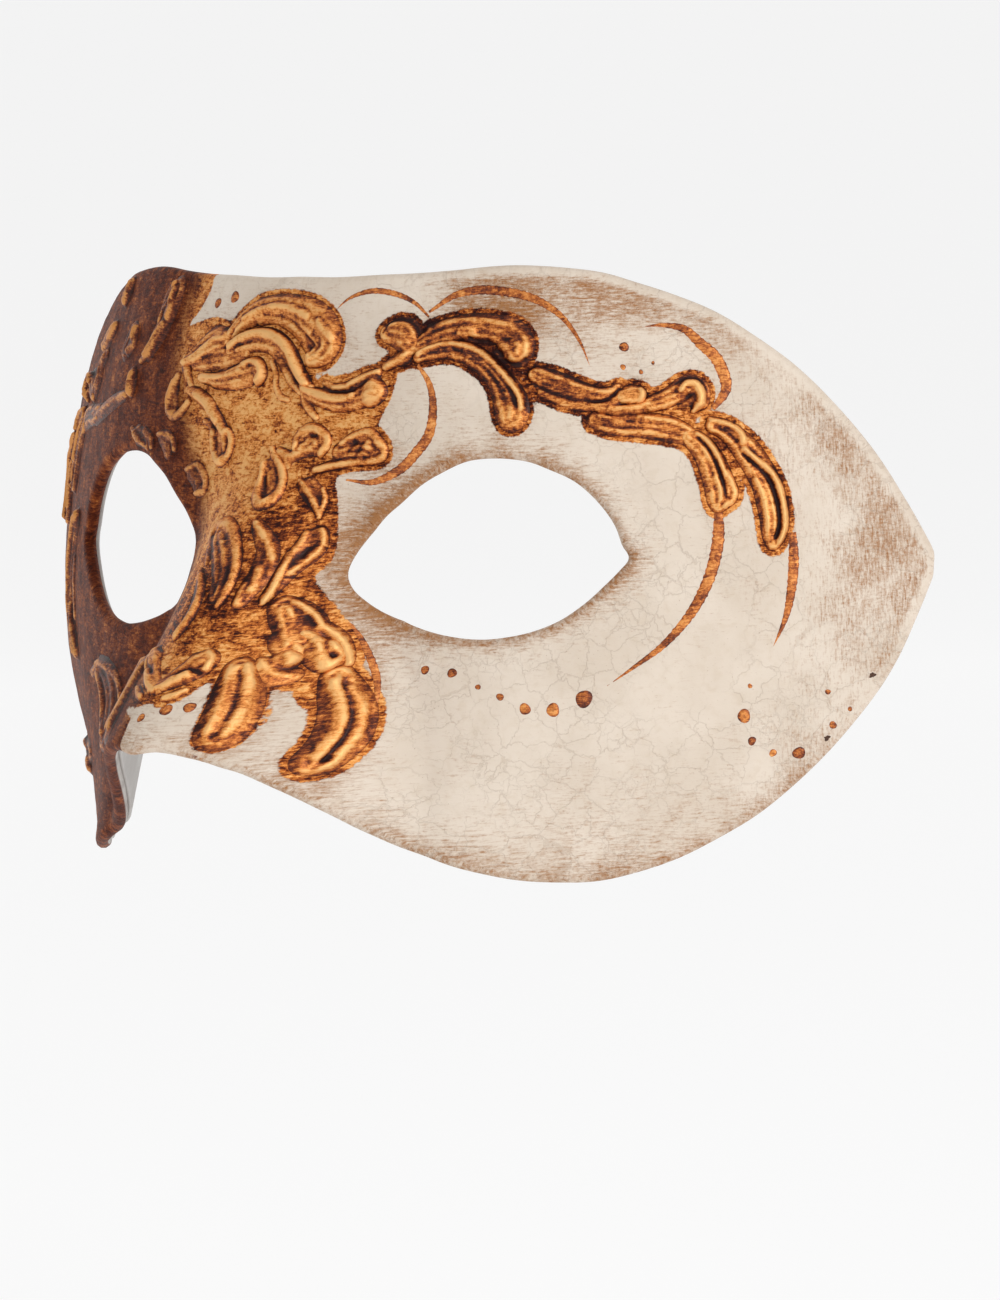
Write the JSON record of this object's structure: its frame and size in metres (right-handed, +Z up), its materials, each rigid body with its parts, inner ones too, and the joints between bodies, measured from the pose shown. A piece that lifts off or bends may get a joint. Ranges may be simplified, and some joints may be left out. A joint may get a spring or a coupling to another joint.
{
  "type": "venetian half mask",
  "caption": "Half mask that covers the brow, nose bridge and cheeks, with almond eye openings and gilded stucco scrollwork in relief.",
  "frame": {"origin": "the point of the mask's inner side that rests on the bridge of the wearer's nose, midway between the eye openings", "axes": "+X towards the wearer's left temple, +Y from the front of the mask towards the wearer's face, +Z up"},
  "size_m": [0.1832, 0.0917, 0.0971],
  "materials": {
    "gesso_shell": "aged cream gesso over papier-mache, satin, with brown patina and bronze paint",
    "paper_lining": "matt grey-white paper",
    "tab_card": "matt pressed card",
    "gilded_stucco": "gilded and umber-toned stucco relief, half gloss"
  },
  "bodies": {
    "root": {"bridge_curl": "gilded_stucco", "bridge_loop_leaf": "gilded_stucco", "bridge_vee": "gilded_stucco", "brow_hook": "gilded_stucco", "brow_stem_bulb": "gilded_stucco", "forehead_inner_arch": "gilded_stucco", "forehead_plume": "gilded_stucco", "forehead_swoosh_leaf": "gilded_stucco", "forehead_teardrop": "gilded_stucco", "inner_lining": "paper_lining", "left_arch_lower": "gilded_stucco", "left_arch_upper": "gilded_stucco", "left_brow_bead": "gilded_stucco", "left_cheek_bead_inner": "gilded_stucco", "left_cheek_bead_outer": "gilded_stucco", "left_cheek_drop_inner": "gilded_stucco", "left_cheek_drop_outer": "gilded_stucco", "left_cheek_fan": "gilded_stucco", "left_knob": "gilded_stucco", "left_nose_side_leaf": "gilded_stucco", "left_ribbon_tab": "tab_card", "left_tail_leaf_long": "gilded_stucco", "left_tail_leaf_short": "gilded_stucco", "left_trailing_bulb": "gilded_stucco", "left_trailing_hook": "gilded_stucco", "left_trailing_stem": "gilded_stucco", "left_trailing_underleaf": "gilded_stucco", "mask_shell": "gesso_shell", "nose_leaf": "gilded_stucco", "nose_strand_ridge": "gilded_stucco", "nose_strands_eye": "gilded_stucco", "nose_strands_mid": "gilded_stucco", "right_brow_line": "gilded_stucco", "right_cheek_drop_inner": "gilded_stucco", "right_cheek_drop_outer": "gilded_stucco", "right_cheek_leaf": "gilded_stucco", "right_edge_leaf_a": "gilded_stucco", "right_edge_leaf_b": "gilded_stucco", "right_edge_stem": "gilded_stucco", "right_forehead_drop": "gilded_stucco", "right_forehead_leaf": "gilded_stucco", "right_forehead_leaf_outer": "gilded_stucco", "right_lid_leaf_a": "gilded_stucco", "right_lid_leaf_b": "gilded_stucco", "right_nose_side_leaf": "gilded_stucco", "right_ribbon_tab": "tab_card", "right_socket_curl": "gilded_stucco", "right_tail_leaf_long": "gilded_stucco", "right_tail_leaf_short": "gilded_stucco", "right_temple_hook": "gilded_stucco", "right_temple_scroll": "gilded_stucco", "right_temple_underleaf": "gilded_stucco", "temple_loop_a": "gilded_stucco", "temple_loop_b": "gilded_stucco"}
  },
  "joints": []
}
